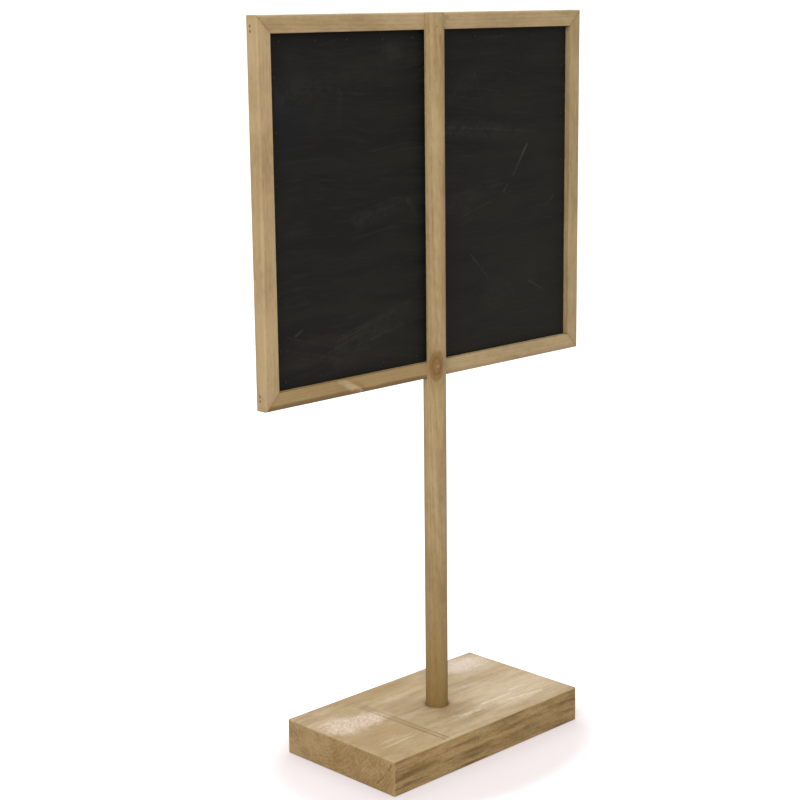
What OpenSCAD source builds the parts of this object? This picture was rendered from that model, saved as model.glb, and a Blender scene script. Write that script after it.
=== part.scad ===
// Table-top chalkboard sign: a framed board carried on a round post that stands in a block base.
// Millimetres. The origin is the centre of the base's underside and +Z is up.
// The post runs over the -Y face of the frame, and the plain writing face looks along +Y.

/* [Base] */
// Length of the base block, along X
base_l = 183; // [120:1:260]
// Depth of the base block, along Y
base_d = 105; // [60:1:160]
// Thickness of the base block
base_t = 25; // [20:0.5:45]
// Rounding of the base block's edges
base_ease = 1.4; // [0.4:0.1:3]
// Distance of the post's axis behind the middle of the base
post_set = 2; // [0:0.5:15]

/* [Post] */
// Height of the whole sign
total_h = 500; // [380:1:700]
// Diameter of the post
post_d = 15.5; // [12:0.1:24]
// Thickness left in the post where it lies over the frame
lap_t = 7.5; // [5:0.1:9]
// Depth of the post's socket in the base
socket_depth = 16; // [10:0.5:16]
// Gap between the post and the wall of its socket
socket_clear = 0.08; // [0.02:0.01:0.3]
// Bevel round the mouth of the socket
socket_bevel = 0.5; // [0.2:0.1:1.5]
// Bevel at the foot of the post
foot_bevel = 1.2; // [0.3:0.1:2]
// Bevel at the top of the post
top_bevel = 0.5; // [0.2:0.1:1.5]

/* [Frame] */
// Width of the frame, along X
frame_w = 298; // [200:1:420]
// Height of the frame
frame_h = 241; // [160:1:320]
// Depth of the rails, along Y
rail_d = 10.2; // [9:0.1:16]
// Width of the rails' face on the post side
face_w = 10.9; // [9:0.1:20]
// Width of the rebate that holds the board
rebate_w = 8; // [7:0.1:12]
// Thickness of the front lip that the board rests on
lip_t = 3; // [2.4:0.1:5]
// Rounding of the rails' outer long edges
outer_ease = 1.6; // [0.4:0.1:3]
// Rounding of the rails' inner long edges
inner_ease = 0.5; // [0.2:0.1:1.2]
// Gap left in each mitre
mitre_gap = 0.12; // [0.02:0.01:0.4]

/* [Board] */
// Thickness of the chalkboard panel
board_t = 3; // [2:0.1:4.5]
// Gap between the panel's edges and the rebate
board_clear = 0.3; // [0.1:0.1:1]

/* [Panel pins] */
// Diameter of a panel pin
pin_d = 0.9; // [0.7:0.1:1.2]
// Length of a panel pin under its head
pin_l = 5.2; // [4:0.1:5.4]
// Diameter of a panel pin's head
pin_head_d = 1.7; // [1.4:0.1:2.4]
// Thickness of a panel pin's head
pin_head_t = 0.4; // [0.2:0.1:0.8]
// Distance of the pins from the rebate's wall
pin_inset = 5; // [3:0.1:6]
// Number of pins along the top rail, and along the bottom rail
row_pins = 10; // [4:1:14]
// Distance of the first pin in a row from the corner of the rebate
row_start = 9.5; // [8.5:0.5:14]
// Number of pins up each stile
column_pins = 6; // [2:1:8]
// Distance of the first pin up a stile from the corner of the rebate
column_start = 25; // [18:0.5:40]
// How far a pin strays along its row
pin_stray = 1.5; // [0:0.1:2]

/* [Corner brads] */
// Diameter of a corner brad
brad_d = 1.2; // [1:0.1:1.5]
// Length of a corner brad under its head
brad_l = 24; // [18:0.5:28]
// Diameter of a corner brad's head
brad_head_d = 1.9; // [1.6:0.1:2.2]
// Thickness of a corner brad's head
brad_head_t = 0.6; // [0.3:0.1:1]
// Distance of the outer brad from the frame's outer edge
brad_edge = 6.4; // [4:0.1:6.6]
// Distance between the two brads of a corner
brad_pitch = 3; // [2.6:0.1:3.4]
// Depth of the brads behind the post-side face
brad_depth = 6; // [3:0.1:6.4]
// Depth of a brad's head below the wood
brad_sink = 0.1; // [0.1:0.1:0.8]

/* [Post nails] */
// Diameter of a post nail
nail_d = 1.5; // [1.2:0.1:1.8]
// Length of a post nail under its head
nail_l = 13; // [11:0.1:14]
// Diameter of a post nail's head
nail_head_d = 2.4; // [2:0.1:3]
// Thickness of a post nail's head
nail_head_t = 0.6; // [0.3:0.1:1]
// Distance of the post nails from the frame's top and bottom edges
nail_edge = 9; // [6:0.1:9.4]
// Turn of the post nails round the post, to the left of square
nail_turn = 28; // [0:1:32]
// Depth of a post nail's head below the post's surface
nail_sink = 0.1; // [0.1:0.1:0.6]

/* [Base screw] */
// Diameter of the screw's thread
screw_d = 4; // [3:0.1:5]
// Length of the screw
screw_l = 32; // [25:0.5:36]
// Diameter of the screw's countersunk head
screw_head_d = 8; // [6.5:0.1:9.5]
// Depth of the screw's head below the underside of the base
screw_sink = 0.6; // [0.3:0.1:1.5]
// Gap round the screw in the base
screw_clear = 0.25; // [0.1:0.05:0.5]
// Rise of one turn of the screw's thread
thread_pitch = 1.8; // [1.2:0.1:2.4]
// Height of the screw's thread
thread_t = 0.6; // [0.3:0.1:0.8]

/* [Hidden] */
// Gap round a fastener that is driven into wood
driven_clear = 0.02;
// How far a cutting shape runs past a face
past = 1;

post_r = post_d / 2;
post_y = -post_set;
post_bottom = base_t - socket_depth;
post_l = total_h - post_bottom;

// Plane where the post's flat meets the frame, and the bottom of the frame
face_y = post_y - post_r + lap_t;
frame_bottom = total_h - frame_h;
frame_mid = total_h - frame_h / 2;
front_w = face_w + rebate_w;

// Panel in its rebate
rebate_half = frame_w / 2 - face_w;
rebate_top = total_h - face_w;
rebate_bottom = frame_bottom + face_w;
board_back = face_y + rail_d - lip_t - board_t;

// Panel pins, each spot as [x, z]
row_end = rebate_half - row_start;
column_top = rebate_top - column_start;
column_bottom = rebate_bottom + column_start;
column_x = rebate_half - pin_inset;
row_x = [for (i = [0:row_pins - 1]) spread(-row_end, row_end, row_pins, i)];
column_z = [for (i = [0:column_pins - 1]) spread(column_bottom, column_top, column_pins, i)];
top_spots = [for (x = row_x) [x, rebate_top - pin_inset]];
bottom_spots = [for (x = row_x) [-x, rebate_bottom + pin_inset]];
left_spots = [for (z = column_z) [-column_x, z]];
right_spots = [for (z = column_z) [column_x, z - pin_stray]];

// Heights of the brads at a corner, as distances from the frame's outer edge
brad_rows = [brad_edge, brad_edge + brad_pitch];
// Distance of the underside of a post nail's head from the post's axis
nail_seat = post_r - nail_sink - nail_head_t;
// Height of the straight rim of the screw's head
screw_rim = 0.4;

frame_wood = "#ab9162";
post_wood = "#b59b6c";
base_wood = "#a8915f";
blackboard = "#272422";
steel = "#8f8c86";

$fn = 48;

// Place i of n from a to b, with a small stray that differs from one pin to the next
function spread(a, b, n, i) = a + (b - a) * i / (n - 1) + pin_stray * sin(137 * i);

// Outline of the screw's head, with the pocket carried out through the underside
function screw_head_outline(gap = 0, open = 0) = [
    [0, screw_sink - open], [screw_head_d / 2 + gap, screw_sink - open],
    [screw_head_d / 2 + gap, screw_sink + screw_rim], [0, screw_sink + screw_rim + screw_head_d / 2 + gap]];

// Outline of a nail for rotate_extrude, its head's underside at 0 and its point along +Y.
// In a cut for the nail, gap widens it and open carries the head's pocket out of the wood.
function nail_outline(l, d, head_d, head_t, gap = 0, open = 0) = [
    [0, -head_t - open], [head_d / 2 + gap, -head_t - open], [head_d / 2 + gap, 0],
    [d / 2 + gap, 0], [d / 2 + gap, l - d], [0, l + gap]];

// Outline of a rectangle w by h, centred, with round corners
module round_rectangle(w, h, r) {
    square([w - 2 * r, h], center = true);
    square([w, h - 2 * r], center = true);
    for (x = [-1, 1], y = [-1, 1])
        translate([x * (w / 2 - r), y * (h / 2 - r)]) circle(r);
}

// Corner of a square with its round taken out, which rounds off a corner of an outline
module corner_waste(r) {
    difference() {
        square(r);
        circle(r);
    }
}

// Section of a rail: X is the depth from the post-side face, Y runs outward and is 0 at the outer edge
module rail_section() {
    difference() {
        translate([0, -front_w]) square([rail_d, front_w]);
        translate([-past, -front_w - past]) square([rail_d - lip_t + past, rebate_w + past]);
        translate([outer_ease, -outer_ease]) mirror([1, 0]) corner_waste(outer_ease);
        translate([rail_d - outer_ease, -outer_ease]) corner_waste(outer_ease);
        translate([inner_ease, -face_w + inner_ease]) rotate(180) corner_waste(inner_ease);
        translate([rail_d - inner_ease, -front_w + inner_ease]) mirror([0, 1]) corner_waste(inner_ease);
    }
}

// Mitred rail along X, its outer edge at z 0 and its post-side face at y 0
module rail(l) {
    half = l / 2 - mitre_gap * sqrt(2) / 2;
    intersection() {
        rotate([90, 0, 90]) linear_extrude(l, center = true) rail_section();
        translate([0, rail_d + past, 0]) rotate([90, 0, 0]) linear_extrude(rail_d + 2 * past)
            polygon([[-half - past, past], [half + past, past],
                     [half - front_w - past, -front_w - past], [-half + front_w + past, -front_w - past]]);
    }
}

// Panel pins at a list of spots
module pins(spots, gap = 0) {
    for (s = spots)
        translate([s[0], board_back, s[1]]) rotate([-90, 0, 0])
            rotate_extrude() polygon(nail_outline(pin_l, pin_d, pin_head_d, pin_head_t, gap));
}

// Brads of the corners on one side (-1 left, 1 right), driven through the stile into the rails
module brads(side, gap = 0, open = 0) {
    for (e = brad_rows, z = [total_h - e, frame_bottom + e])
        translate([side * (frame_w / 2 - brad_sink - brad_head_t), face_y + brad_depth, z])
            rotate([0, -90 * side, 0])
                rotate_extrude() polygon(nail_outline(brad_l, brad_d, brad_head_d, brad_head_t, gap, open));
}

// Nails driven through the post's axis into the top rail and the bottom rail
module nails(gap = 0, open = 0) {
    for (z = [total_h - nail_edge, frame_bottom + nail_edge])
        translate([0, post_y, z]) rotate(-nail_turn) translate([0, -nail_seat, 0]) rotate([-90, 0, 0])
            rotate_extrude() polygon(nail_outline(nail_l, nail_d, nail_head_d, nail_head_t, gap, open));
}

module base_block() {
    color(base_wood) difference() {
        translate([0, 0, base_t / 2]) intersection() {
            linear_extrude(base_t, center = true) round_rectangle(base_l, base_d, base_ease);
            rotate([90, 0, 0]) linear_extrude(base_d, center = true)
                round_rectangle(base_l, base_t, base_ease);
            rotate([90, 0, 90]) linear_extrude(base_l, center = true)
                round_rectangle(base_d, base_t, base_ease);
        }
        translate([0, post_y, 0]) {
            translate([0, 0, post_bottom]) cylinder(h = socket_depth + past, r = post_r + socket_clear);
            translate([0, 0, base_t - socket_bevel])
                cylinder(h = socket_bevel + past, r1 = post_r + socket_clear,
                         r2 = post_r + socket_clear + socket_bevel + past);
            translate([0, 0, -past]) cylinder(h = base_t, d = screw_d + 2 * screw_clear);
            rotate_extrude() polygon(screw_head_outline(driven_clear, past));
        }
    }
}

module post() {
    color(post_wood) difference() {
        translate([0, post_y, post_bottom]) rotate_extrude()
            polygon([[0, 0], [post_r - foot_bevel, 0], [post_r, foot_bevel],
                     [post_r, post_l - top_bevel], [post_r - top_bevel, post_l], [0, post_l]]);
        translate([-post_d, face_y, frame_bottom]) cube([2 * post_d, post_d, frame_h + past]);
        nails(driven_clear, past + nail_head_d);
        translate([0, post_y, post_bottom - past])
            cylinder(h = screw_sink + screw_l - post_bottom + past, r = screw_d / 2 + driven_clear);
    }
}

module left_stile() {
    color(frame_wood) difference() {
        translate([-frame_w / 2, face_y, frame_mid]) rotate([0, -90, 0]) rail(frame_h);
        brads(-1, driven_clear, past);
        pins(left_spots, driven_clear);
    }
}

module right_stile() {
    color(frame_wood) difference() {
        translate([frame_w / 2, face_y, frame_mid]) rotate([0, 90, 0]) rail(frame_h);
        brads(1, driven_clear, past);
        pins(right_spots, driven_clear);
    }
}

module top_rail() {
    color(frame_wood) difference() {
        translate([0, face_y, total_h]) rail(frame_w);
        for (side = [-1, 1]) brads(side, driven_clear);
        pins(top_spots, driven_clear);
        nails(driven_clear);
    }
}

module bottom_rail() {
    color(frame_wood) difference() {
        translate([0, face_y, frame_bottom]) mirror([0, 0, 1]) rail(frame_w);
        for (side = [-1, 1]) brads(side, driven_clear);
        pins(bottom_spots, driven_clear);
        nails(driven_clear);
    }
}

module chalkboard_panel() {
    color(blackboard) difference() {
        translate([-rebate_half + board_clear, board_back, rebate_bottom + board_clear])
            cube([2 * (rebate_half - board_clear), board_t, rebate_top - rebate_bottom - 2 * board_clear]);
        pins(concat(top_spots, bottom_spots, left_spots, right_spots), driven_clear);
    }
}

module panel_pins() {
    color(steel) pins(concat(top_spots, bottom_spots, left_spots, right_spots));
}

module corner_brads() {
    color(steel) for (side = [-1, 1]) brads(side);
}

module post_nails() {
    color(steel) nails();
}

module base_screw() {
    neck = screw_sink + screw_rim + (screw_head_d - screw_d) / 2;
    turns = floor((screw_l - post_bottom - screw_d) / thread_pitch);
    thread_start = screw_sink + screw_l - screw_d - turns * thread_pitch;
    core_r = screw_d / 2 - thread_t;
    thread = [for (i = [0:turns - 1], p = [[core_r, 0], [screw_d / 2, 0.5]])
        [p[0], thread_start + (i + p[1]) * thread_pitch]];
    color(steel) translate([0, post_y, 0]) difference() {
        rotate_extrude() polygon(concat(
            [[0, screw_sink], [screw_head_d / 2, screw_sink], [screw_head_d / 2, screw_sink + screw_rim],
             [screw_d / 2, neck], [screw_d / 2, thread_start - thread_pitch / 2]],
            thread,
            [[core_r, screw_sink + screw_l - screw_d], [0, screw_sink + screw_l]]));
        for (a = [45, 135])
            rotate(a) translate([-screw_d / 2, -thread_t, 0]) cube([screw_d, 2 * thread_t, screw_sink + 2]);
    }
}

base_block();
post();
left_stile();
right_stile();
top_rail();
bottom_rail();
chalkboard_panel();
panel_pins();
corner_brads();
post_nails();
base_screw();
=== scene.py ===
"""Looks of a table chalkboard sign: bare pine frame, post and base, and a matt black writing board."""
import math

import bpy
from mathutils import Matrix, Vector


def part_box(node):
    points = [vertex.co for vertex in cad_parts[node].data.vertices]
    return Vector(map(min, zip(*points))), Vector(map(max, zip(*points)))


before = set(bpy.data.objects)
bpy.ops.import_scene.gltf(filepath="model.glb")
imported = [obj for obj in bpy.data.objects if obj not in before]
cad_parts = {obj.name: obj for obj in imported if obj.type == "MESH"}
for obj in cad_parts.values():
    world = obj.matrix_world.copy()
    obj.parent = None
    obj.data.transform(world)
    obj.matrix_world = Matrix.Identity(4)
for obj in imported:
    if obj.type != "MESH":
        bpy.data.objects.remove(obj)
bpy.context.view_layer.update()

MM = 0.001

# ---------------------------------------------------------------------------------------------
# Places on the sign, read from the frame
# ---------------------------------------------------------------------------------------------
base_low, base_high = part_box("base_block")
post_low, post_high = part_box("post")
board_low, board_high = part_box("chalkboard_panel")
top_low, top_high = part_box("top_rail")
bottom_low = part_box("bottom_rail")[0]
left_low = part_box("left_stile")[0]
right_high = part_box("right_stile")[1]

base_middle = (base_low + base_high) / 2
board_middle = (board_low + board_high) / 2
post_axis = (post_low + post_high) / 2
post_radius = (post_high.x - post_low.x) / 2
frame_half_width = (right_high.x - left_low.x) / 2
frame_half_height = (top_high.z - bottom_low.z) / 2
frame_middle = Vector((0, (top_low.y + top_high.y) / 2, (top_high.z + bottom_low.z) / 2))


def on_base(along, deep):
    """A point on the base's top face, in mm from the middle of the base."""
    return (base_middle.x + along * MM, base_middle.y + deep * MM, base_high.z)


def on_board(across, up):
    """A point on the board's face on the post side, in mm from the middle of the board."""
    return (board_middle.x + across * MM, board_low.y, board_middle.z + up * MM)


# ---------------------------------------------------------------------------------------------
# Small helpers for building shader nodes
# ---------------------------------------------------------------------------------------------
def tint(red, green, blue):
    """A colour given as on a paint chart, 0 to 255, as the linear colour that shaders take."""
    def linear(level):
        level /= 255
        return level / 12.92 if level <= 0.04045 else ((level + 0.055) / 1.055) ** 2.4
    return (linear(red), linear(green), linear(blue), 1.0)


def feed(tree, socket, value):
    """Link a socket into an input, or set the input to a plain value."""
    if isinstance(value, bpy.types.NodeSocket):
        tree.links.new(value, socket)
    else:
        socket.default_value = value


def add(tree, kind, inputs=None, **settings):
    """A new shader node with its settings and inputs in place."""
    node = tree.nodes.new("ShaderNode" + kind)
    for name, value in settings.items():
        setattr(node, name, value)
    for name, value in (inputs or {}).items():
        feed(tree, node.inputs[name], value)
    return node


def calc(tree, operation, *values):
    """Output of a Math node."""
    return add(tree, "Math", dict(enumerate(values)), operation=operation).outputs[0]


def vector_calc(tree, operation, *values, output=0):
    """Output of a Vector Math node."""
    return add(tree, "VectorMath", dict(enumerate(values)), operation=operation).outputs[output]


def ease(tree, value, low, high, start=0.0, end=1.0):
    """Smooth step from start at low to end at high."""
    limits = {"Value": value, "From Min": low, "From Max": high, "To Min": start, "To Max": end}
    return add(tree, "MapRange", limits, interpolation_type="SMOOTHSTEP").outputs[0]


def blend(tree, amount, first, second):
    """Two colours mixed by an amount, from the first at 0 to the second at 1."""
    node = add(tree, "Mix", data_type="RGBA")
    feed(tree, node.inputs[0], amount)
    feed(tree, node.inputs[6], first)
    feed(tree, node.inputs[7], second)
    return node.outputs[2]


def noise(tree, place, scale, detail=3.0, roughness=0.5, colour=False):
    """Cloudy noise at a place, as a value or as three values at once."""
    inputs = {"Vector": place, "Scale": scale, "Detail": detail, "Roughness": roughness}
    node = add(tree, "TexNoise", inputs)
    return node.outputs["Color" if colour else "Fac"]


def weigh(tree, value, middle, weight):
    """How far a value lies above its middle, times a weight."""
    return calc(tree, "MULTIPLY", calc(tree, "SUBTRACT", value, middle), weight)


def lay(tree, mask, weight, under, over):
    """A colour laid over another where a mask says, at most as strongly as the weight."""
    return blend(tree, calc(tree, "MULTIPLY", mask, weight), under, over)


def stretch(tree, place, along):
    """A place drawn out along X, for streaks; the smaller the number, the longer they are."""
    return vector_calc(tree, "MULTIPLY", place, (along, 1.0, 1.0))


def split(tree, place):
    """The X, Y and Z of a vector."""
    return add(tree, "SeparateXYZ", {0: place}).outputs


def join(tree, x, y, z):
    """A vector from its X, Y and Z."""
    return add(tree, "CombineXYZ", {0: x, 1: y, 2: z}).outputs[0]


def apart(tree, first, second):
    """How far apart two points lie along X, Y and Z."""
    return split(tree, vector_calc(tree, "ABSOLUTE", vector_calc(tree, "SUBTRACT", first, second)))


def total(tree, operation, values):
    """Several values gathered into one, such as their sum or the largest."""
    result = values[0]
    for value in values[1:]:
        result = calc(tree, operation, result, value)
    return result


# ---------------------------------------------------------------------------------------------
# Shared effects, each one a node group
# ---------------------------------------------------------------------------------------------
SOCKETS = {"value": "NodeSocketFloat", "colour": "NodeSocketColor", "vector": "NodeSocketVector"}


def effect(name, inputs, outputs, make):
    """A node group: inputs and outputs map names to kinds, and make(tree, given) returns the outputs."""
    tree = bpy.data.node_groups.new(name, "ShaderNodeTree")
    for label, kind in inputs.items():
        tree.interface.new_socket(name=label, in_out="INPUT", socket_type=SOCKETS[kind])
    for label, kind in outputs.items():
        tree.interface.new_socket(name=label, in_out="OUTPUT", socket_type=SOCKETS[kind])
    given = tree.nodes.new("NodeGroupInput").outputs
    result = tree.nodes.new("NodeGroupOutput").inputs
    for label, socket in make(tree, given).items():
        tree.links.new(socket, result[label])
    return tree


def use(tree, group, **inputs):
    """Place an effect in a material with its own values; underscores in names stand for spaces."""
    node = tree.nodes.new("ShaderNodeGroup")
    node.node_tree = group
    for name, value in inputs.items():
        feed(tree, node.inputs[name.replace("_", " ")], value)
    return node.outputs


def softwood(tree, given):
    """Pine cut from a log. X of Place runs along the grain, and Pith is where the log's heart lies."""
    place = vector_calc(tree, "ADD", given["Place"], given["Log"])
    swirl = noise(tree, stretch(tree, place, 0.07), 26.0, 2.0, colour=True)
    swirl = vector_calc(tree, "SUBTRACT", swirl, (0.5, 0.5, 0.5))
    swirl = vector_calc(tree, "MULTIPLY", swirl, (0.0, 14 * MM, 14 * MM))
    from_pith = vector_calc(tree, "ADD", given["Place"], swirl)
    from_pith = vector_calc(tree, "SUBTRACT", from_pith, given["Pith"])
    across = vector_calc(tree, "MULTIPLY", from_pith, (0.0, 1.0, 1.0))
    radius = calc(tree, "ADD", vector_calc(tree, "LENGTH", across, output=1), given["Swell"])
    ring = calc(tree, "FRACT", calc(tree, "DIVIDE", radius, given["Ring Width"]))
    late = calc(tree, "MULTIPLY", ease(tree, ring, 0.25, 0.9), ease(tree, ring, 0.9, 1.0, 1.0, 0.0))
    streak = noise(tree, stretch(tree, place, 0.09), 340.0, 5.0, 0.65)
    fibre = noise(tree, stretch(tree, place, 0.05), 1700.0, 2.0, 0.5)
    cloud = noise(tree, stretch(tree, place, 0.4), 42.0, 4.0, 0.6)
    mottle = noise(tree, stretch(tree, place, 0.5), 330.0, 3.0, 0.6)
    fleck = ease(tree, noise(tree, stretch(tree, place, 0.16), 800.0, 2.0), 0.62, 0.74)
    shade = total(tree, "ADD", [
        weigh(tree, late, 0.3, given["Figure"]),
        weigh(tree, streak, 0.5, given["Streaks"]),
        weigh(tree, fibre, 0.5, 0.3),
        weigh(tree, cloud, 0.5, given["Clouds"]),
        weigh(tree, mottle, 0.5, 0.8),
        calc(tree, "MULTIPLY", fleck, 0.3),
        given["Depth"],
    ])
    shade = ease(tree, shade, -0.15, 1.15)
    colour = blend(tree, shade, given["Pale"], given["Dark"])
    height = calc(tree, "ADD", calc(tree, "MULTIPLY", late, -0.5), calc(tree, "MULTIPLY", fibre, 0.8))
    return {"Colour": colour, "Shade": shade, "Relief": height}


def branch_knot(tree, given):
    """Knot on a plane: X of Place runs along the grain and Y across it."""
    off = vector_calc(tree, "SUBTRACT", given["Place"], given["Centre"])
    off = vector_calc(tree, "MULTIPLY", off, (1.0, 1.0, 0.0))
    off = vector_calc(tree, "DIVIDE", off, given["Half Size"])
    rough = noise(tree, given["Place"], 330.0, 3.0)
    far = vector_calc(tree, "LENGTH", off, output=1)
    far = calc(tree, "ADD", far, weigh(tree, rough, 0.5, 0.34))
    wave = calc(tree, "SINE", calc(tree, "MULTIPLY", far, 17.0))
    swell = calc(tree, "MULTIPLY", calc(tree, "MULTIPLY", far, far), -0.9)
    swell = calc(tree, "POWER", math.e, swell)
    return {
        "Heart": ease(tree, far, 0.05, 0.17, 1.0, 0.0),
        "Core": ease(tree, far, 0.6, 1.05, 1.0, 0.0),
        "Halo": ease(tree, far, 0.85, 1.7, 1.0, 0.0),
        "Rings": calc(tree, "ADD", calc(tree, "MULTIPLY", wave, 0.5), 0.5),
        "Swell": calc(tree, "MULTIPLY", swell, given["Bend"]),
    }


def scratch(tree, given):
    """Straight mark from one point to another. Breaks, 0 to 1, is how far it is broken up."""
    along = vector_calc(tree, "SUBTRACT", given["To"], given["From"])
    off = vector_calc(tree, "SUBTRACT", given["Place"], given["From"])
    part = calc(tree, "DIVIDE", vector_calc(tree, "DOT_PRODUCT", off, along, output=1),
                vector_calc(tree, "DOT_PRODUCT", along, along, output=1))
    part = calc(tree, "MINIMUM", calc(tree, "MAXIMUM", part, 0.0), 1.0)
    near = add(tree, "VectorMath", {0: along, "Scale": part}, operation="SCALE").outputs[0]
    gap = vector_calc(tree, "LENGTH", vector_calc(tree, "SUBTRACT", off, near), output=1)
    line = ease(tree, calc(tree, "DIVIDE", gap, given["Width"]), 0.25, 1.0, 1.0, 0.0)
    missing = ease(tree, noise(tree, given["Place"], 260.0, 2.0), 0.3, 0.62, 1.0, 0.0)
    whole = calc(tree, "SUBTRACT", 1.0, calc(tree, "MULTIPLY", missing, given["Breaks"]))
    fade = calc(tree, "ADD", calc(tree, "MULTIPLY", calc(tree, "SUBTRACT", 1.0, part), 0.6), 0.4)
    return {"Mask": total(tree, "MULTIPLY", [line, whole, fade, given["Strength"]])}


def smudge(tree, given):
    """Soft patch with a ragged edge, such as worn whitewash, dust or a stain."""
    off = vector_calc(tree, "SUBTRACT", given["Place"], given["Centre"])
    off = vector_calc(tree, "DIVIDE", off, given["Reach"])
    far = vector_calc(tree, "LENGTH", off, output=1)
    drawn_out = vector_calc(tree, "MULTIPLY", given["Place"], given["Stretch"])
    ragged = noise(tree, drawn_out, given["Scale"], 5.0, 0.62)
    far = calc(tree, "ADD", far, weigh(tree, ragged, 0.5, given["Ragged"]))
    return {"Mask": ease(tree, far, 0.35, 1.0, 1.0, 0.0)}


def box_edge(tree, given):
    """How near a point on a box lies to the box's edges: 1 on an edge and 0 beyond Reach."""
    to_low = apart(tree, given["Place"], given["Low"])
    to_high = apart(tree, given["High"], given["Place"])
    a, b, c = [calc(tree, "MINIMUM", to_low[i], to_high[i]) for i in range(3)]
    # On a face the least of the three is 0, so the second least is how far the nearest edge lies
    inner = calc(tree, "MINIMUM", calc(tree, "MAXIMUM", a, b), c)
    second = calc(tree, "MAXIMUM", calc(tree, "MINIMUM", a, b), inner)
    rough = calc(tree, "MULTIPLY", noise(tree, given["Place"], 240.0, 4.0, 0.6), 2.0)
    second = calc(tree, "MULTIPLY", second, calc(tree, "ADD", rough, 0.1))
    return {"Mask": ease(tree, calc(tree, "DIVIDE", second, given["Reach"]), 0.1, 1.0, 1.0, 0.0)}


def mitre_seam(tree, given):
    """The four mitre joints of a frame that lies in XZ about Middle."""
    off = apart(tree, given["Place"], given["Middle"])
    in_x = calc(tree, "SUBTRACT", given["Half Width"], off[0])
    in_z = calc(tree, "SUBTRACT", given["Half Height"], off[2])
    gap = calc(tree, "ABSOLUTE", weigh(tree, in_x, in_z, math.sqrt(0.5)))
    gap = calc(tree, "DIVIDE", gap, given["Line Width"])
    return {"Line": ease(tree, gap, 0.2, 1.0, 1.0, 0.0), "Grime": ease(tree, gap, 0.5, 6.0, 1.0, 0.0)}


SOFTWOOD = effect("softwood grain", {
    "Place": "vector", "Log": "vector", "Pith": "vector", "Ring Width": "value", "Swell": "value",
    "Figure": "value", "Streaks": "value", "Clouds": "value", "Depth": "value",
    "Pale": "colour", "Dark": "colour",
}, {"Colour": "colour", "Shade": "value", "Relief": "value"}, softwood)
KNOT = effect("branch knot", {
    "Place": "vector", "Centre": "vector", "Half Size": "vector", "Bend": "value",
}, {"Heart": "value", "Core": "value", "Halo": "value", "Rings": "value", "Swell": "value"}, branch_knot)
SCRATCH = effect("scratch", {
    "Place": "vector", "From": "vector", "To": "vector",
    "Width": "value", "Strength": "value", "Breaks": "value",
}, {"Mask": "value"}, scratch)
SMUDGE = effect("smudge", {
    "Place": "vector", "Centre": "vector", "Reach": "vector", "Stretch": "vector", "Scale": "value",
    "Ragged": "value",
}, {"Mask": "value"}, smudge)
BOX_EDGE = effect("box edge wear and highlight", {
    "Place": "vector", "Low": "vector", "High": "vector", "Reach": "value",
}, {"Mask": "value"}, box_edge)
MITRE_SEAM = effect("mitre seam", {
    "Place": "vector", "Middle": "vector",
    "Half Width": "value", "Half Height": "value", "Line Width": "value",
}, {"Line": "value", "Grime": "value"}, mitre_seam)


# ---------------------------------------------------------------------------------------------
# Materials
# ---------------------------------------------------------------------------------------------
FRAME_PALE, FRAME_DARK = tint(167, 145, 107), tint(136, 114, 76)
POST_PALE, POST_DARK = tint(164, 143, 103), tint(131, 107, 67)
BASE_PALE, BASE_DARK = tint(170, 148, 110), tint(130, 106, 68)

# Stretch of a smudge whose ragged edge is the same in every direction
EVEN = (1.0, 1.0, 1.0)
# Reach of a smudge through the board's thickness, so large that only its place on the face counts
ANY_DEPTH = 0.1


def new_material(name, specular, roughness, metallic=0.0):
    """A material with its tree, its surface shader and the place on the object."""
    material = bpy.data.materials.new(name)
    material.use_nodes = True
    tree = material.node_tree
    surface = tree.nodes["Principled BSDF"]
    surface.inputs["Specular IOR Level"].default_value = specular
    surface.inputs["Roughness"].default_value = roughness
    surface.inputs["Metallic"].default_value = metallic
    place = add(tree, "TexCoord").outputs["Object"]
    return material, tree, surface, place


def relief(tree, surface, height, distance):
    """Bump the surface by a height, where 1 stands distance metres proud."""
    bump = add(tree, "Bump", {"Height": height, "Distance": distance, "Strength": 1.0})
    tree.links.new(bump.outputs["Normal"], surface.inputs["Normal"])


def gather(tree, group, place, marks, **common):
    """The strongest of several marks made by one effect; each mark is a dict of its own values."""
    masks = [use(tree, group, Place=place, **common, **mark)["Mask"] for mark in marks]
    return total(tree, "MAXIMUM", masks)


def frame_pine(name, upright, log, depth, marks=None):
    """Bare pine of one rail or stile, darker with depth; marks adds what only one piece has."""
    material, tree, surface, place = new_material(name, 0.25, 0.62)
    x, y, z = split(tree, place)
    along = join(tree, z, x, y) if upright else join(tree, x, y, z)
    # The log's heart lies outside the piece, at a place of its own for each
    pith = (0.0, 30 * MM + log[1], 50 * MM - log[2])
    grain = use(tree, SOFTWOOD, Place=along, Log=log, Pith=pith, Ring_Width=2.6 * MM, Swell=0.0,
                Figure=0.12, Streaks=0.8, Clouds=1.8, Depth=depth, Pale=FRAME_PALE, Dark=FRAME_DARK)
    seam = use(tree, MITRE_SEAM, Place=place, Middle=tuple(frame_middle),
               Half_Width=frame_half_width, Half_Height=frame_half_height, Line_Width=0.5 * MM)
    colour = marks(tree, place, grain["Colour"]) if marks else grain["Colour"]
    colour = lay(tree, seam["Grime"], 0.1, colour, tint(120, 92, 54))
    colour = lay(tree, seam["Line"], 0.12, colour, tint(90, 68, 38))
    tree.links.new(colour, surface.inputs["Base Color"])
    tree.links.new(ease(tree, grain["Shade"], 0.0, 1.0, 0.68, 0.5), surface.inputs["Roughness"])
    relief(tree, surface, calc(tree, "SUBTRACT", grain["Relief"], seam["Line"]), 0.12 * MM)
    return material


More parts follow.
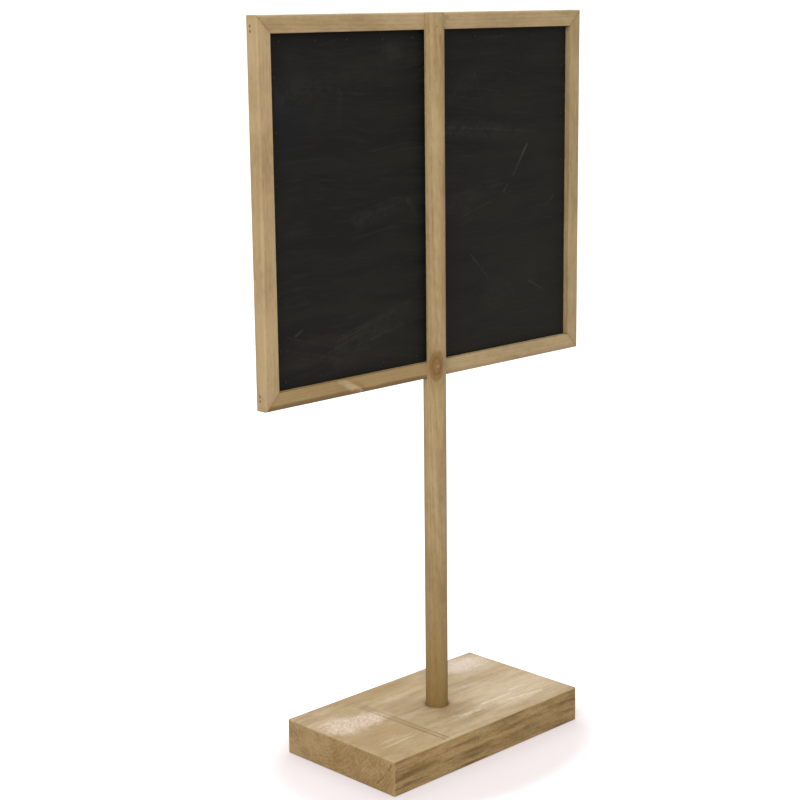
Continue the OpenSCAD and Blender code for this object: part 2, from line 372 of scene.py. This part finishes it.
def bottom_rail_marks(tree, place, colour):
    """A small knot at the lower edge with a pale swirl beside it, darker to the left, and painted shade
    along the lower edge.
    """
    front = bottom_low.y + 0.2 * MM
    edge = bottom_low.z
    ends = dict(From=(-70 * MM, front, edge + 1.5 * MM), To=(-87 * MM, front, edge + 11 * MM))
    shadow = use(tree, SCRATCH, Place=place, Width=7.5 * MM, Strength=0.5, Breaks=0.3, **ends)["Mask"]
    swirl = use(tree, SCRATCH, Place=place, Width=3.4 * MM, Strength=0.85, Breaks=0.3, **ends)["Mask"]
    knot = use(tree, SMUDGE, Place=place, Centre=(-72.5 * MM, front, edge + 1.2 * MM),
               Reach=(6 * MM, 9 * MM, 3 * MM), Stretch=EVEN, Scale=300.0, Ragged=0.5)["Mask"]
    x, _, z = split(tree, place)
    colour = blend(tree, ease(tree, x, -30 * MM, 25 * MM, 0.55, 0.0), colour, tint(134, 108, 60))
    # Painted shade along the lower edge, which rounds away downwards: a band with a wavy top, fading to
    # the right
    wavy = calc(tree, "MULTIPLY", noise(tree, place, 60.0), 2.4 * MM)
    height = calc(tree, "ADD", calc(tree, "SUBTRACT", z, edge), wavy)
    painted_edge_shade = calc(tree, "MULTIPLY", ease(tree, height, 3.4 * MM, 5.4 * MM, 0.75, 0.0),
                    ease(tree, x, -20 * MM, 20 * MM, 1.0, 0.3))
    colour = blend(tree, painted_edge_shade, colour, tint(96, 74, 40))
    colour = blend(tree, shadow, colour, tint(118, 92, 54))
    colour = blend(tree, swirl, colour, tint(184, 164, 128))
    return lay(tree, knot, 0.75, colour, tint(120, 76, 40))


def top_rail_marks(tree, place, colour):
    """A resin spot just right of the post."""
    spot = use(tree, SMUDGE, Place=place, Centre=(13.6 * MM, top_low.y, top_high.z - 3.4 * MM),
               Reach=(3 * MM, 9 * MM, 2.4 * MM), Stretch=EVEN, Scale=300.0, Ragged=0.5)["Mask"]
    return lay(tree, spot, 0.45, colour, tint(132, 96, 54))


def post_pine():
    """The dowel: grain a little crooked to its axis, one large knot, and painted shade on its lower end.
    """
    material, tree, surface, place = new_material("post pine", 0.25, 0.6)
    x, y, z = split(tree, vector_calc(tree, "SUBTRACT", place, (post_axis.x, post_axis.y, 0.0)))
    # Height and the way round the dowel, 0 on the side away from the board
    turn = calc(tree, "ARCTAN2", x, calc(tree, "MULTIPLY", y, -1.0))
    round_place = join(tree, z, calc(tree, "MULTIPLY", turn, post_radius), 0.0)
    knot = use(tree, KNOT, Place=round_place, Centre=(bottom_low.z + 9 * MM, -0.6 * post_radius, 0.0),
               Half_Size=(12 * MM, 6.1 * MM, 1.0), Bend=3.4 * MM)
    slanted = join(tree, z, calc(tree, "ADD", x, calc(tree, "MULTIPLY", z, 0.045)),
                   calc(tree, "SUBTRACT", y, calc(tree, "MULTIPLY", z, 0.03)))
    grain = use(tree, SOFTWOOD, Place=slanted, Log=(0.31, 0.22, 0.4), Pith=(0.0, 22 * MM, 34 * MM),
                Ring_Width=2.3 * MM, Swell=knot["Swell"], Figure=0.22, Streaks=0.8, Clouds=1.2,
                Depth=0.42, Pale=POST_PALE, Dark=POST_DARK)
    ringed = calc(tree, "MULTIPLY", knot["Core"], ease(tree, knot["Rings"], 0.0, 1.0, 0.72, 1.0))
    colour = lay(tree, knot["Halo"], 0.35, grain["Colour"], tint(124, 98, 56))
    colour = lay(tree, ringed, 0.95, colour, tint(110, 79, 34))
    colour = lay(tree, knot["Heart"], 0.7, colour, tint(158, 130, 84))
    tip = top_high.z
    stain = gather(tree, SCRATCH, round_place, [
        dict(From=(tip - 15 * MM, -0.3 * MM, 0.0), To=(tip - 22 * MM, -0.4 * MM, 0.0), Width=1.6 * MM),
        dict(From=(tip - 20 * MM, 0.6 * MM, 0.0), To=(tip - 26 * MM, 0.2 * MM, 0.0), Width=1.2 * MM),
    ], Strength=0.45, Breaks=0.7)
    colour = blend(tree, stain, colour, tint(116, 82, 44))
    # Painted shade: the dowel darkens towards the base, as less light reaches it low down
    painted_foot_shade = ease(tree, z, base_high.z, base_high.z + 160 * MM, 0.55, 0.0)
    colour = blend(tree, painted_foot_shade, colour, tint(120, 91, 32))
    tree.links.new(colour, surface.inputs["Base Color"])
    tree.links.new(ease(tree, grain["Shade"], 0.0, 1.0, 0.66, 0.5), surface.inputs["Roughness"])
    height = calc(tree, "SUBTRACT", grain["Relief"], calc(tree, "MULTIPLY", ringed, 0.6))
    relief(tree, surface, height, 0.12 * MM)
    return material


def patch(x, y, half_length, half_depth):
    """Middle and reach of a smudge on the base's top face, in mm from the middle of the base."""
    return dict(Centre=on_base(x, y), Reach=(half_length * MM, half_depth * MM, 9 * MM))


def base_pine():
    """The base block: thin whitewash rubbed away in patches on top, sides darker partly as painted
    shade, and end grain.
    """
    material, tree, surface, place = new_material("base pine", 0.22, 0.68)
    x, _, z = split(tree, place)
    grain = use(tree, SOFTWOOD, Place=place, Log=(0.12, 0.5, 0.27), Pith=(0.0, 20 * MM, 45 * MM),
                Ring_Width=2.7 * MM, Swell=0.0, Figure=0.16, Streaks=0.8, Clouds=1.3,
                Depth=0.46, Pale=BASE_PALE, Dark=BASE_DARK)
    on_top = ease(tree, z, base_high.z - 1.2 * MM, base_high.z - 0.5 * MM)
    on_end = ease(tree, calc(tree, "ABSOLUTE", x), base_high.x - 1.2 * MM, base_high.x - 0.5 * MM)
    # Long sides: darker, partly as painted shade for less light low down, with dark bands, long and
    # short streaks and small pits
    long_streak = noise(tree, stretch(tree, place, 0.07), 210.0, 6.0, 0.66)
    short_streak = noise(tree, stretch(tree, place, 0.13), 430.0, 6.0, 0.72)
    band = noise(tree, stretch(tree, place, 0.16), 95.0, 3.0, 0.6)
    pits = noise(tree, stretch(tree, place, 0.5), 1000.0, 4.0, 0.7)
    # Painted shade: the sides start from a darker, yellower tone than the top
    side = blend(tree, 0.5, grain["Colour"], tint(150, 122, 66))
    side = blend(tree, ease(tree, band, 0.46, 0.62, 0.0, 0.6), side, tint(100, 76, 36))
    side = blend(tree, ease(tree, long_streak, 0.49, 0.66, 0.0, 0.7), side, tint(90, 66, 28))
    side = blend(tree, ease(tree, short_streak, 0.5, 0.7, 0.0, 0.5), side, tint(98, 74, 36))
    side = blend(tree, ease(tree, short_streak, 0.3, 0.46, 0.35, 0.0), side, tint(176, 152, 104))
    side = blend(tree, ease(tree, pits, 0.52, 0.7, 0.0, 0.6), side, tint(90, 66, 32))
    # End grain: faint growth rings, fine pores, and one ring that has opened near the post side
    pores = noise(tree, stretch(tree, place, 0.4), 1100.0, 3.0, 0.7)
    blotch = noise(tree, place, 85.0, 4.0, 0.6)
    end = blend(tree, ease(tree, grain["Shade"], 0.2, 0.85), tint(160, 136, 94), tint(138, 112, 68))
    end = blend(tree, ease(tree, pores, 0.42, 0.75, 0.0, 0.35), end, tint(100, 76, 40))
    end = blend(tree, ease(tree, blotch, 0.5, 0.72, 0.0, 0.35), end, tint(104, 78, 38))
    opened = gather(tree, SCRATCH, place, [
        dict(From=(base_low.x, -36 * MM, 5 * MM), To=(base_low.x, -43 * MM, 12 * MM)),
        dict(From=(base_low.x, -49.5 * MM, 21.5 * MM), To=(base_low.x, -43 * MM, 12 * MM)),
    ], Width=1.1 * MM, Strength=0.6, Breaks=0.2)
    end = blend(tree, opened, end, tint(84, 62, 34))
    # Top: thin wash, stains, bare and chalky patches, light scrapes along the grain and a scored band
    thin_wash = noise(tree, stretch(tree, place, 0.22), 120.0, 5.0, 0.65)
    top = blend(tree, ease(tree, thin_wash, 0.3, 0.7, 0.1, 0.6), grain["Colour"], tint(194, 176, 148))
    stains = gather(tree, SMUDGE, place, [
        patch(78, -7, 24, 5),
        patch(-18, 10, 34, 20),
        patch(3, -19, 24, 14),
        patch(-40.5, 5, 5, 60),
    ], Stretch=(0.4, 1.0, 1.0), Scale=110.0, Ragged=1.1)
    top = lay(tree, stains, 0.4, top, tint(132, 104, 64))
    bare = gather(tree, SMUDGE, place, [
        patch(-68, -12, 44, 62),
        patch(-20, 44, 60, 16),
    ], Stretch=(0.4, 1.0, 1.0), Scale=90.0, Ragged=0.6)
    top = lay(tree, bare, 0.62, top, tint(152, 126, 82))
    pale_wash = gather(tree, SMUDGE, place, [
        patch(58, -20, 56, 30),
        patch(72, 34, 40, 24),
    ], Stretch=(0.4, 1.0, 1.0), Scale=90.0, Ragged=0.9)
    top = lay(tree, pale_wash, 0.4, top, tint(206, 190, 164))
    chalky = gather(tree, SMUDGE, place, [
        patch(-57, 12, 26, 14),
        patch(-73, 15, 22, 20),
        patch(68, 36, 30, 15),
    ], Stretch=(0.6, 1.0, 1.0), Scale=220.0, Ragged=1.0)
    grit = noise(tree, stretch(tree, place, 0.6), 850.0, 6.0, 0.72)
    top = blend(tree, ease(tree, grit, 0.28, 0.5, 0.4, 0.0), top, tint(136, 108, 66))
    chalky = calc(tree, "MULTIPLY", chalky, ease(tree, grit, 0.32, 0.62, 0.15, 1.0))
    top = lay(tree, chalky, 0.62, top, tint(226, 210, 200))
    brushed = noise(tree, stretch(tree, place, 0.07), 620.0, 4.0, 0.65)
    rubbed = gather(tree, SMUDGE, place, [
        patch(55, -30, 50, 18),
        patch(-64, -30, 24, 12),
    ], Stretch=EVEN, Scale=60.0, Ragged=0.8)
    rubbed = calc(tree, "MULTIPLY", rubbed, ease(tree, brushed, 0.46, 0.66))
    top = lay(tree, rubbed, 0.4, top, tint(218, 202, 180))
    scrapes = gather(tree, SCRATCH, place, [
        dict(From=on_base(-5, -30), To=on_base(17, -32), Width=2.6 * MM),
        dict(From=on_base(69, -38), To=on_base(32, -32), Width=2.4 * MM),
        dict(From=on_base(54, -22), To=on_base(69, -21), Width=2.0 * MM),
        dict(From=on_base(20, -26), To=on_base(44, -25), Width=1.6 * MM),
        dict(From=on_base(-9, -27), To=on_base(-2, -33), Width=1.2 * MM),
    ], Strength=0.55, Breaks=1.0)
    top = blend(tree, scrapes, top, tint(222, 208, 188))
    scored = gather(tree, SCRATCH, place, [
        dict(From=on_base(-41.7, -50), To=on_base(-43.9, 36), Width=1.4 * MM),
        dict(From=on_base(-38.0, -50), To=on_base(-38.4, 20), Width=1.2 * MM),
    ], Strength=0.55, Breaks=0.5)
    top = blend(tree, scored, top, tint(100, 74, 40))
    bruise = use(tree, SCRATCH, Place=place, From=(base_high.x, base_low.y, base_high.z),
                 To=(base_high.x, base_middle.y, base_high.z),
                 Width=1.8 * MM, Strength=0.7, Breaks=0.5)["Mask"]
    top = blend(tree, bruise, top, tint(96, 70, 36))
    colour = blend(tree, on_end, side, end)
    colour = blend(tree, on_top, colour, top)
    # Pale edges, part real wear and part painted highlight
    edge_wear_and_highlight = use(tree, BOX_EDGE, Place=place, Low=tuple(base_low), High=tuple(base_high),
               Reach=1.6 * MM)["Mask"]
    colour = lay(tree, edge_wear_and_highlight, 0.18, colour, tint(180, 156, 114))
    # Painted shade on the top, in the corner round the post
    from_post = vector_calc(tree, "SUBTRACT", place, tuple(post_axis))
    from_post = vector_calc(tree, "MULTIPLY", from_post, (1.0, 1.0, 0.0))
    from_post = vector_calc(tree, "LENGTH", from_post, output=1)
    shade_at_post = ease(tree, from_post, post_radius, post_radius + 4 * MM, 0.6, 0.0)
    colour = lay(tree, shade_at_post, on_top, colour, tint(110, 84, 48))
    tree.links.new(colour, surface.inputs["Base Color"])
    tree.links.new(ease(tree, chalky, 0.0, 1.0, 0.62, 0.9), surface.inputs["Roughness"])
    height = calc(tree, "SUBTRACT", grain["Relief"], calc(tree, "MULTIPLY", scored, 1.6))
    relief(tree, surface, calc(tree, "ADD", height, calc(tree, "MULTIPLY", long_streak, 0.8)), 0.2 * MM)
    return material


def blackboard_paint():
    """Matt black paint on thin board: wiped dust in long bands, pale scratches, warm scuffs."""
    material, tree, surface, place = new_material("blackboard paint", 0.12, 0.78)
    warp = vector_calc(tree, "SUBTRACT", noise(tree, place, 9.0, 2.0, colour=True), (0.5, 0.5, 0.5))
    tilted = vector_calc(tree, "ADD", place, vector_calc(tree, "MULTIPLY", warp, (0.0, 0.0, 0.03)))
    wiped = noise(tree, stretch(tree, tilted, 0.1), 90.0, 6.0, 0.62)
    brushed = noise(tree, stretch(tree, tilted, 0.08), 480.0, 4.0, 0.6)
    specks = noise(tree, place, 1500.0, 2.0, 0.6)
    dust = noise(tree, place, 22.0, 4.0, 0.6)
    # Lighter towards the lower right
    x, _, z = split(tree, place)
    towards_lower_right = calc(tree, "SUBTRACT", x, z)
    towards_lower_right = calc(tree, "ADD", towards_lower_right, board_middle.z + 5.5 * MM)
    towards_lower_right = calc(tree, "MULTIPLY", towards_lower_right, 0.7)
    dusty = ease(tree, calc(tree, "ADD", wiped, towards_lower_right), 0.3, 0.72)
    colour = blend(tree, dusty, tint(19, 19, 16), tint(29, 29, 25))
    colour = blend(tree, ease(tree, brushed, 0.5, 0.75, 0.0, 0.5), colour, tint(37, 37, 32))
    colour = blend(tree, ease(tree, specks, 0.55, 0.8, 0.0, 0.4), colour, tint(50, 48, 43))
    colour = blend(tree, ease(tree, dust, 0.5, 0.8, 0.0, 0.3), colour, tint(39, 38, 33))
    cool = use(tree, SMUDGE, Place=place, Centre=on_board(-120, 58.5),
               Reach=(26 * MM, ANY_DEPTH, 36 * MM), Stretch=EVEN, Scale=40.0, Ragged=0.6)["Mask"]
    colour = lay(tree, cool, 0.35, colour, tint(18, 22, 28))
    warm = gather(tree, SMUDGE, place, [
        dict(Centre=on_board(-98, -82.5), Reach=(34 * MM, ANY_DEPTH, 5 * MM)),
        dict(Centre=on_board(-112, -93.5), Reach=(26 * MM, ANY_DEPTH, 9 * MM)),
        dict(Centre=on_board(-60, -99.5), Reach=(40 * MM, ANY_DEPTH, 6 * MM)),
    ], Stretch=(0.3, 1.0, 1.0), Scale=120.0, Ragged=1.0)
    colour = lay(tree, warm, 0.2, colour, tint(46, 34, 31))
    smear = use(tree, SMUDGE, Place=place, Centre=on_board(-32, 96.5),
                Reach=(13 * MM, ANY_DEPTH, 8 * MM), Stretch=EVEN, Scale=200.0, Ragged=1.7)["Mask"]
    colour = lay(tree, smear, 0.3, colour, tint(46, 44, 40))
    # Each mark: where it starts and ends across and up from the board's middle, its width in mm,
    # and its strength
    dry_wipes = [
        ((12, 44.5), (104, 37.5), 9, 0.5), ((12, -8.5), (66, 4.5), 9, 0.45),
        ((-66, -9.5), (-20, -0.5), 8, 0.4), ((-84, -93.5), (-8, -67.5), 12, 0.5),
        ((-20, 0.5), (-14, -7.5), 3, 0.7), ((-78, 76.5), (-80, 52.5), 4, 0.35),
        ((60, -74.5), (120, -49.5), 14, 0.3), ((-130, 72.5), (-40, 82.5), 14, 0.35),
        ((20, 66.5), (60, 88.5), 10, 0.3),
    ]
    scratches = [
        ((97, 29.5), (83, 9.5), 1.5, 1.0), ((77, 2.5), (73, -1.5), 1.3, 0.9),
        ((126, -8.5), (117, -14.5), 1.2, 0.6), ((18, 45.5), (103, 38.5), 1.2, 0.32),
        ((40, -41.5), (58, -60.5), 0.9, 0.5), ((100, -66.5), (116, -74.5), 1.1, 0.5),
        ((-120, -76.5), (-114, -73.5), 1.2, 0.7), ((-84, -84.5), (-30, -70.5), 0.9, 0.3),
        ((-72, -90.5), (-5, -77.5), 0.9, 0.28), ((-80, -81.5), (-9, -63.5), 0.8, 0.25),
        ((-100, -93.5), (-52, -78.5), 0.8, 0.2), ((30, -15.5), (80, -1.5), 0.8, 0.3),
        ((-58, -7.5), (-22, 0.5), 0.8, 0.2), ((44, 80.5), (52, 60.5), 0.8, 0.3),
    ]
    rusty = [
        ((-127, -76.5), (-82, -89.5), 1.0, 0.9), ((-128, -84.5), (-70, -100.5), 1.2, 0.8),
        ((-118, -91.5), (-84, -98.5), 1.0, 0.7),
    ]

    def marks(rows, breaks):
        return gather(tree, SCRATCH, place, [
            dict(From=on_board(*start), To=on_board(*end), Width=width * MM, Strength=strength)
            for start, end, width, strength in rows
        ], Breaks=breaks)

    colour = blend(tree, marks(dry_wipes, 0.8), colour, tint(42, 40, 36))
    colour = lay(tree, marks(rusty, 0.8), 0.24, colour, tint(62, 42, 37))
    colour = lay(tree, marks(scratches, 0.85), 0.4, colour, tint(82, 78, 70))
    tree.links.new(colour, surface.inputs["Base Color"])
    tree.links.new(ease(tree, wiped, 0.2, 0.8, 0.68, 0.86), surface.inputs["Roughness"])
    relief(tree, surface, calc(tree, "ADD", wiped, calc(tree, "MULTIPLY", brushed, 0.3)), 0.1 * MM)
    return material


def plain_steel(name, pale, dark, roughness, metallic):
    """Steel or paint over it, dulled and spotted with tarnish."""
    material, tree, surface, place = new_material(name, 0.4, roughness, metallic)
    spots = noise(tree, place, 900.0, 4.0, 0.65)
    tree.links.new(blend(tree, ease(tree, spots, 0.4, 0.7), pale, dark), surface.inputs["Base Color"])
    tree.links.new(ease(tree, spots, 0.3, 0.7, roughness, roughness + 0.25), surface.inputs["Roughness"])
    relief(tree, surface, spots, 0.03 * MM)
    return material


def dress(node, material):
    """Give a node of the frame its material."""
    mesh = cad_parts[node].data
    mesh.materials.clear()
    mesh.materials.append(material)


dress("left_stile", frame_pine("left stile pine", True, (0.20, 0.01, 0.02), 0.32))
dress("right_stile", frame_pine("right stile pine", True, (0.75, 0.02, 0.01), 0.42))
dress("top_rail", frame_pine("top rail pine", False, (0.45, 0.03, 0.01), 0.42, top_rail_marks))
dress("bottom_rail", frame_pine("bottom rail pine", False, (0.95, 0.00, 0.03), 0.18, bottom_rail_marks))
dress("post", post_pine())
dress("base_block", base_pine())
dress("chalkboard_panel", blackboard_paint())
dress("panel_pins", plain_steel("painted-over pins", tint(28, 21, 20), tint(44, 27, 26), 0.9, 0.0))
dress("corner_brads", plain_steel("brad steel", tint(132, 110, 76), tint(104, 80, 50), 0.65, 0.2))
dress("post_nails", plain_steel("nail steel", tint(148, 122, 82), tint(116, 90, 54), 0.65, 0.2))
dress("base_screw", plain_steel("screw steel", tint(176, 170, 160), tint(128, 120, 108), 0.35, 1.0))


# ---------------------------------------------------------------------------------------------
# Rounded surfaces shade smoothly and sharp edges stay sharp
# ---------------------------------------------------------------------------------------------
def smooth_by_angle(limit):
    """A geometry node tree that welds a mesh and smooths it, except across edges over the limit."""
    tree = bpy.data.node_groups.new("smooth by angle", "GeometryNodeTree")
    for in_out in ("INPUT", "OUTPUT"):
        tree.interface.new_socket(name="Mesh", in_out=in_out, socket_type="NodeSocketGeometry")
    start = tree.nodes.new("NodeGroupInput")
    end = tree.nodes.new("NodeGroupOutput")
    weld = tree.nodes.new("GeometryNodeMergeByDistance")
    weld.inputs["Distance"].default_value = 0.001 * MM
    faces = tree.nodes.new("GeometryNodeSetShadeSmooth")
    angle = tree.nodes.new("GeometryNodeInputMeshEdgeAngle")
    over = tree.nodes.new("FunctionNodeCompare")
    over.data_type = "FLOAT"
    over.operation = "GREATER_THAN"
    over.inputs["B"].default_value = limit
    edges = tree.nodes.new("GeometryNodeSetShadeSmooth")
    edges.domain = "EDGE"
    edges.inputs["Shade Smooth"].default_value = False
    tree.links.new(start.outputs[0], weld.inputs["Geometry"])
    tree.links.new(weld.outputs["Geometry"], faces.inputs["Geometry"])
    tree.links.new(faces.outputs["Geometry"], edges.inputs["Geometry"])
    tree.links.new(angle.outputs["Unsigned Angle"], over.inputs["A"])
    tree.links.new(over.outputs["Result"], edges.inputs["Selection"])
    tree.links.new(edges.outputs["Geometry"], end.inputs[0])
    return tree


SMOOTH = smooth_by_angle(math.radians(38))
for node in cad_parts.values():
    node.modifiers.new("smooth by angle", "NODES").node_group = SMOOTH


# ---------------------------------------------------------------------------------------------
# Floor, light and camera
# ---------------------------------------------------------------------------------------------
def studio_floor():
    """A pale matt floor with a painted soft shadow round the base, that glows white a few centimetres
    away.
    """
    edge = 60.0
    corners = [(-edge, -edge, 0), (edge, -edge, 0), (edge, edge, 0), (-edge, edge, 0)]
    mesh = bpy.data.meshes.new("studio floor")
    mesh.from_pydata(corners, [], [(0, 1, 2, 3)])
    floor = bpy.data.objects.new("studio_floor", mesh)
    bpy.context.scene.collection.objects.link(floor)
    material, tree, surface, place = new_material("studio floor", 0.1, 0.9)
    seen = add(tree, "LightPath").outputs["Is Camera Ray"]
    # Half as bright to the eye as to the light that bounces off it; the glow, painted light, makes up
    # the rest
    paint = blend(tree, seen, (0.78, 0.73, 0.74, 1.0), (0.39, 0.365, 0.37, 1.0))
    tree.links.new(paint, surface.inputs["Base Color"])
    # 0 in a soft oval round the base, 1 beyond it: the oval is a painted shadow, pinker and less bright
    shadow_oval_middle = (-10 * MM, -10 * MM, 0.0)
    shadow_oval_reach = (base_high.x + 55 * MM, base_high.y + 57 * MM, 1.0)
    off = vector_calc(tree, "SUBTRACT", place, shadow_oval_middle)
    off = vector_calc(tree, "DIVIDE", off, shadow_oval_reach)
    far = ease(tree, vector_calc(tree, "LENGTH", off, output=1), 0.72, 1.1)
    glow = ease(tree, far, 0.0, 1.0, 0.44, 1.0)
    painted_shadow_tone = blend(tree, far, (1.0, 0.9, 0.89, 1.0), (1.0, 1.0, 1.0, 1.0))
    tree.links.new(painted_shadow_tone, surface.inputs["Emission Color"])
    tree.links.new(calc(tree, "MULTIPLY", glow, seen), surface.inputs["Emission Strength"])
    mesh.materials.append(material)


def soft_light(name, place, target, size, power):
    """A square soft box that looks at a target."""
    lamp = bpy.data.lights.new(name, "AREA")
    lamp.size = size
    lamp.energy = power
    holder = bpy.data.objects.new(name, lamp)
    holder.location = place
    holder.rotation_euler = (Vector(target) - Vector(place)).to_track_quat("-Z", "Y").to_euler()
    bpy.context.scene.collection.objects.link(holder)


def studio_light():
    """Even white surroundings, a large soft box on the left of the post side and one overhead."""
    world = bpy.data.worlds.new("white studio")
    world.use_nodes = True
    tree = world.node_tree
    background = tree.nodes["Background"]
    background.inputs["Color"].default_value = (1.0, 1.0, 1.0, 1.0)
    seen = add(tree, "LightPath").outputs["Is Camera Ray"]
    tree.links.new(ease(tree, seen, 0.0, 1.0, 0.75, 1.1), background.inputs["Strength"])
    bpy.context.scene.world = world
    soft_light("key soft box", (-0.95, -0.65, 1.10), (0.0, 0.0, 0.32), 0.9, 13.0)
    soft_light("overhead soft box", (0.35, 0.35, 1.40), (0.0, 0.0, 0.20), 1.2, 9.0)


def sight_camera():
    """Camera on the post side, to the left and a little above the middle of the sign."""
    stand = Vector((-0.8566, -0.8399, 0.5066))
    focal_length = 81.53
    heading = math.radians(44.504)
    drop = math.radians(12.387)
    roll = math.radians(-0.638)
    ahead = Vector((math.sin(heading), math.cos(heading), 0.0))
    forward = ahead * math.cos(drop) - Vector((0.0, 0.0, math.sin(drop)))
    level = Vector((math.cos(heading), -math.sin(heading), 0.0))
    lift = level.cross(forward)
    right = level * math.cos(roll) + lift * math.sin(roll)
    up = lift * math.cos(roll) - level * math.sin(roll)
    lens = bpy.data.cameras.new("camera")
    lens.sensor_width = 36.0
    lens.lens = focal_length
    camera = bpy.data.objects.new("camera", lens)
    turn = Matrix((right, up, -forward)).transposed().to_4x4()
    camera.matrix_world = Matrix.Translation(stand) @ turn
    bpy.context.scene.collection.objects.link(camera)
    bpy.context.scene.camera = camera


studio_floor()
studio_light()
sight_camera()
bpy.context.scene.view_settings.view_transform = "Standard"
